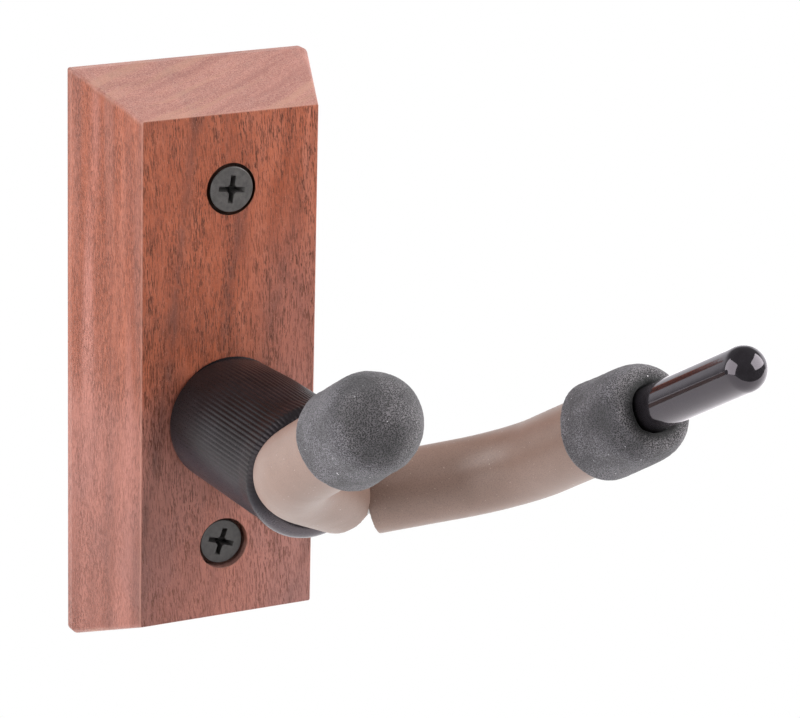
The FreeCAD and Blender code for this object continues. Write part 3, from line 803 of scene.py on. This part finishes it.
def boot_outline(length, lip_r):
    """The boot's closed (radius, distance) outline, from the plate out over the lip and back inside."""
    foot = (BOOT_BASE_R - BOOT_FOOT_ROUND, BOOT_FOOT_ROUND)
    lip = (lip_r - BOOT_LIP_ROUND, length - BOOT_LIP_ROUND)
    waist = (BOOT_WAIST_R, lip[1] - BOOT_FLARE_LENGTH)
    inner_lip = (lip[0] - BOOT_LIP_ROUND, lip[1])
    dish = (BOOT_BORE_R, length - BOOT_DISH_DEPTH)
    bore_end = (BOOT_BORE_R, BOOT_WASHER_DEPTH)
    recess = (BOOT_WASHER_R, BOOT_WASHER_DEPTH)
    recess_edge = (BOOT_WASHER_R, 0)
    outline = straight(recess_edge, (foot[0], 0), EDGE_STEPS)
    outline += arc(foot, BOOT_FOOT_ROUND, -90, 0, FOOT_STEPS)[:-1]
    outline += straight((BOOT_BASE_R, foot[1]), waist, WALL_STEPS)
    outline += straight(waist, (lip_r, lip[1]), FLARE_STEPS)
    outline += arc(lip, BOOT_LIP_ROUND, 0, 180, LIP_STEPS)[:-1]
    outline += straight(inner_lip, dish, DISH_STEPS)
    outline += straight(dish, bore_end, BORE_STEPS)
    outline += straight(bore_end, recess, EDGE_STEPS)
    outline += straight(recess, recess_edge, EDGE_STEPS)
    return outline


def make_boot():
    """Ribbed rubber boot on the swivel axis."""
    lo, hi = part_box("hub_boot")
    centre = ((lo.x + hi.x) / 2, hi.y, (lo.z + hi.z) / 2)
    outline = boot_outline((hi.y - lo.y) / MM, (hi.x - lo.x) / 2 / MM)
    boot = lathe("boot_ribbed", outline, RIB_COUNT * RIB_STEPS, centre, (0, -1, 0), boot_relief)
    paint(boot, black_rubber_look())
    return boot


def arm_end():
    """Where the straight part of the peg starts, in metres, and the direction of the arm there."""
    peg = mount("bow_peg")
    axis = np.array(peg["axis"])
    return np.array(peg["pos_m"]) - axis * peg["dims"]["length_mm"] / 2 * MM, axis


def make_peg():
    """Round-ended glossy peg sleeve, placed by its mount."""
    radius = mount("bow_peg")["dims"]["r_mm"]
    length = mount("bow_peg")["dims"]["length_mm"]
    base, axis = arm_end()
    root = (radius - PEG_ROOT_ROUND, PEG_ROOT_ROUND)
    bore_end = length + radius - PEG_BORE_END
    outline = [(PEG_BORE_R, 0.0), (root[0], 0.0)]
    outline += arc(root, PEG_ROOT_ROUND, -90, 0, PEG_ROOT_STEPS)[1:-1]
    outline += straight((radius, root[1]), (radius, length), PEG_STEPS)
    outline += arc((0, length), radius, 0, 90, PEG_STEPS)
    outline += [(0.0, bore_end), (PEG_BORE_R, bore_end)]
    peg = lathe("peg_sleeve_gloss", outline, PEG_COLUMNS, base, axis)
    paint(peg, gloss_look())
    return peg


def make_tube(side, look):
    """One rubber arm tube with eased ends and a slightly uneven surface."""
    tube = soft_copy(side + "_arm_tube", side + "_tube_rubber", TUBE_VOXEL, TUBE_SMOOTHING)
    push(tube, lambda points, normals: rough_skin(points, TUBE_RELIEF))
    paint(tube, look)
    return tube


def dents(points, hollows):
    """Depth in mm of the shallow dimples at each point."""
    depth = np.zeros(len(points))
    for spot, size in hollows:
        reach = np.linalg.norm(points - np.array(spot), axis=1) / size
        depth += HOLLOW_DEPTH * np.clip(1 - reach ** 2, 0, 1) ** 2
    return depth


def make_foam(node, name, look, hollows):
    """One foam end: rounded, a little lumpy, with open cells cut into the surface."""
    foam = soft_copy(node, name, FOAM_VOXEL, FOAM_SMOOTHING)
    push(foam, lambda points, normals: rough_skin(points, FOAM_RELIEF) - dents(points, hollows))
    paint(foam, look)
    return foam


def make_closed_foam():
    """The left foam cap."""
    return make_foam("left_foam_cap", "left_foam_domed", left_foam_look(), LEFT_HOLLOWS)


def make_bored_foam():
    """The right foam, its mouth closing softly in towards the peg."""
    foam = make_foam("right_foam_collar", "right_foam_bored", right_foam_look(), RIGHT_HOLLOWS)
    base, axis = arm_end()
    peg_r = mount("bow_peg")["dims"]["r_mm"]

    def squeeze(points, normals):
        offset = points - base / MM
        across = offset - (offset @ axis)[:, None] * axis
        radius = np.linalg.norm(across, axis=1)
        inward = -(normals * across).sum(1) / np.maximum(radius, TINY)
        wall = np.clip((MOUTH_REACH - radius) / MOUTH_EASE, 0, 1) * np.clip(inward, 0, 1)
        return np.maximum(np.minimum(MOUTH_SQUEEZE, radius - peg_r - MOUTH_GAP), 0) * wall

    push(foam, squeeze)
    return foam


def make_weld():
    """Lumpy fillet weld."""
    weld = soft_copy("weld_bead", "weld_bead_rippled", WELD_VOXEL, WELD_SMOOTHING)
    push(weld, lambda points, normals: rough_skin(points, WELD_RELIEF))
    paint(weld, weld_look())
    return weld


def build_pieces():
    """Every stand-in, listed with its CAD node and its material slot; each is tied to its body and its CAD
    node is hidden.
    """
    beige = beige_rubber_look()
    made = [
        (make_boot(), "hub_boot", "black_rubber"),
        (make_tube("left", beige), "left_arm_tube", "beige_rubber"),
        (make_tube("right", beige), "right_arm_tube", "beige_rubber"),
        (make_closed_foam(), "left_foam_cap", "charcoal_foam"),
        (make_bored_foam(), "right_foam_collar", "charcoal_foam"),
        (make_peg(), "bow_peg_sleeve", "gloss_vinyl"),
        (make_weld(), "weld_bead", "weld_steel"),
    ]
    for piece, node, slot in made:
        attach(piece, "yoke")
        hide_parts(node)


def paint_cad_nodes():
    """Procedural finishes on the CAD nodes that stay in view."""
    looks = {
        "walnut_wood": wood_look(),
        "black_screw_steel": screw_look(),
        "zinc_steel": zinc_look(),
        "mild_steel": bare_steel_look(),
        "nylon": nylon_look(),
    }
    for part in frame["record"]["subparts"]:
        if part["material_slot"] in looks:
            paint(frame["nodes"][part["node"]], looks[part["material_slot"]])


# ---------------------------------------------------------------- studio
FLOOR_Z = -0.105                    # metres
FLOOR_X = (-0.45, 1.30)
FLOOR_Y = (-0.30, 1.60)
FLOOR_GLOW = (-50.0, 400.0, 0.15, 0.9)  # brighter to the right: from x, to x in mm, then the two strengths
BELOW_HORIZON = (-0.35, -0.25)      # the lit band of the room starts here: height of the view direction
ABOVE_HORIZON = (0.55, 0.20)        # and ends here
BACKDROP_EDGE = (2.30, 2.60)        # radians round from straight out of the wall, on both sides
RIGHT_WALL_START = (1.50, 1.70)     # the same, towards +X
RIGHT_WALL_END = (2.50, 2.25)
CAMERA_TARGET = (0.0, -0.08468, 0.02063)
CAMERA_AROUND = -28.21              # degrees from straight out of the wall
CAMERA_ABOVE = 17.36                # degrees over the horizon
CAMERA_ROLL = 1.39                  # degrees
CAMERA_DISTANCE = 0.6828
CAMERA_SENSOR = 36.0                # mm
CAMERA_LENS = 184.2                 # mm
SUBJECT = (0.0, -0.10, 0.0)         # the place that the lights face
LIGHT_DISTANCE = 1.5                # metres
SOFTBOXES = [                       # name, around, above, width and height in degrees, watts, seen in gloss
    ("softbox_left", -101.0, 13.0, 62.0, 54.0, 35.0, True),
    ("softbox_right", 56.0, 32.0, 66.0, 42.0, 38.0, True),
    ("softbox_top", 150.0, 70.0, 50.0, 50.0, 8.0, False),
]
ROOM_LIGHT = 0.22
BACKDROP_LIGHT = 0.85               # added low behind the object
RIGHT_WALL_LIGHT = 1.3              # added low on the right


def heading(around, above):
    """Unit vector; around is in degrees from straight out of the wall to +X, above is over the horizon."""
    around, above = math.radians(around), math.radians(above)
    level = math.cos(above)
    return Vector((math.sin(around) * level, -math.cos(around) * level, math.sin(above)))


def make_camera():
    """Long lens, a little to the left of the plate and above it."""
    camera = bpy.data.objects.new("camera", bpy.data.cameras.new("camera"))
    bpy.context.scene.collection.objects.link(camera)
    back = heading(CAMERA_AROUND, CAMERA_ABOVE)
    level = back.to_track_quat("Z", "Y").to_matrix().to_4x4()
    place = Matrix.Translation(Vector(CAMERA_TARGET) + back * CAMERA_DISTANCE)
    camera.matrix_world = place @ level @ Matrix.Rotation(math.radians(CAMERA_ROLL), 4, "Z")
    camera.data.sensor_width = CAMERA_SENSOR
    camera.data.sensor_fit = "HORIZONTAL"
    camera.data.lens = CAMERA_LENS
    camera.data.clip_start = 0.05
    camera.data.clip_end = 50.0
    bpy.context.scene.camera = camera


def floor_look():
    """White to the camera from above, a lit table to the object, and nothing at all from below."""
    look = Look("floor_white")
    across = look.parts(look.place)["X"]
    diffuse = look.add("ShaderNodeBsdfDiffuse", {"Color": (0.85, 0.85, 0.85, 1.0)})
    glow = look.add("ShaderNodeEmission", {"Strength": look.span(across, *FLOOR_GLOW)})
    lit = look.add("ShaderNodeAddShader", {0: diffuse.outputs[0], 1: glow.outputs[0]})
    white = look.add("ShaderNodeEmission", {"Strength": 1.0})
    clear = look.add("ShaderNodeBsdfTransparent")
    from_below = look.add("ShaderNodeNewGeometry").outputs["Backfacing"]
    seen = look.add("ShaderNodeLightPath").outputs["Is Camera Ray"]
    above = look.add("ShaderNodeMixShader", {0: seen, 1: lit.outputs[0], 2: white.outputs[0]})
    mixed = look.add("ShaderNodeMixShader", {0: from_below, 1: above.outputs[0], 2: clear.outputs[0]})
    output = look.add("ShaderNodeOutputMaterial")
    look.tree.links.new(mixed.outputs[0], output.inputs[0])
    return look.material


def make_floor():
    """Pale table that is seen only from above."""
    left, right = FLOOR_X
    front, back = FLOOR_Y
    corners = [(left, front), (right, front), (right, back), (left, back)]
    mesh = bpy.data.meshes.new("floor")
    mesh.from_pydata([(x, y, FLOOR_Z) for x, y in corners], [], [(0, 1, 2, 3)])
    floor = new_object("floor", mesh)
    paint(floor, floor_look())


def make_softbox(name, around, above, wide, high, watts, shiny):
    """Rectangular softbox in a given direction; wide and high are its angles seen from the object."""
    light = bpy.data.lights.new(name, "AREA")
    light.shape = "RECTANGLE"
    light.size = 2 * LIGHT_DISTANCE * math.tan(math.radians(wide / 2))
    light.size_y = 2 * LIGHT_DISTANCE * math.tan(math.radians(high / 2))
    light.energy = watts
    softbox = bpy.data.objects.new(name, light)
    bpy.context.scene.collection.objects.link(softbox)
    out = heading(around, above)
    softbox.location = Vector(SUBJECT) + out * LIGHT_DISTANCE
    softbox.rotation_mode = "QUATERNION"
    softbox.rotation_quaternion = (-out).to_track_quat("-Z", "Y")
    softbox.visible_camera = False
    softbox.visible_glossy = shiny


def make_world():
    """White to the camera; to the object, a dim room with a bright backdrop low behind and to the right."""
    world = bpy.data.worlds.new("studio")
    world.use_nodes = True
    bpy.context.scene.world = world
    room = Nodes(world.node_tree)
    x, y, z = room.parts(room.add("ShaderNodeTexCoord").outputs["Generated"])
    around = room.math("ARCTAN2", x, room.times(y, -1.0))
    low = room.times(room.span(z, *BELOW_HORIZON), room.span(z, *ABOVE_HORIZON))
    behind = room.times(room.span(room.math("ABSOLUTE", around), *BACKDROP_EDGE), low)
    right = room.times(room.span(around, *RIGHT_WALL_START), room.span(around, *RIGHT_WALL_END), low)
    light = room.plus(ROOM_LIGHT, room.times(behind, BACKDROP_LIGHT), room.times(right, RIGHT_WALL_LIGHT))
    dim = room.add("ShaderNodeBackground", {"Color": (0.97, 0.98, 1.0, 1.0), "Strength": light})
    white = room.add("ShaderNodeBackground", {"Color": (1.0, 1.0, 1.0, 1.0), "Strength": 1.0})
    seen = room.add("ShaderNodeLightPath").outputs["Is Camera Ray"]
    mixed = room.add("ShaderNodeMixShader", {0: seen, 1: dim.outputs[0], 2: white.outputs[0]})
    output = room.add("ShaderNodeOutputWorld")
    room.tree.links.new(mixed.outputs[0], output.inputs[0])


def make_studio():
    """Floor, lights and camera."""
    make_floor()
    make_world()
    for softbox in SOFTBOXES:
        make_softbox(*softbox)
    make_camera()
    settings = bpy.context.scene.view_settings
    settings.view_transform = "Standard"
    settings.look = "None"


# ---------------------------------------------------------------- main
build_pieces()
paint_cad_nodes()
make_studio()
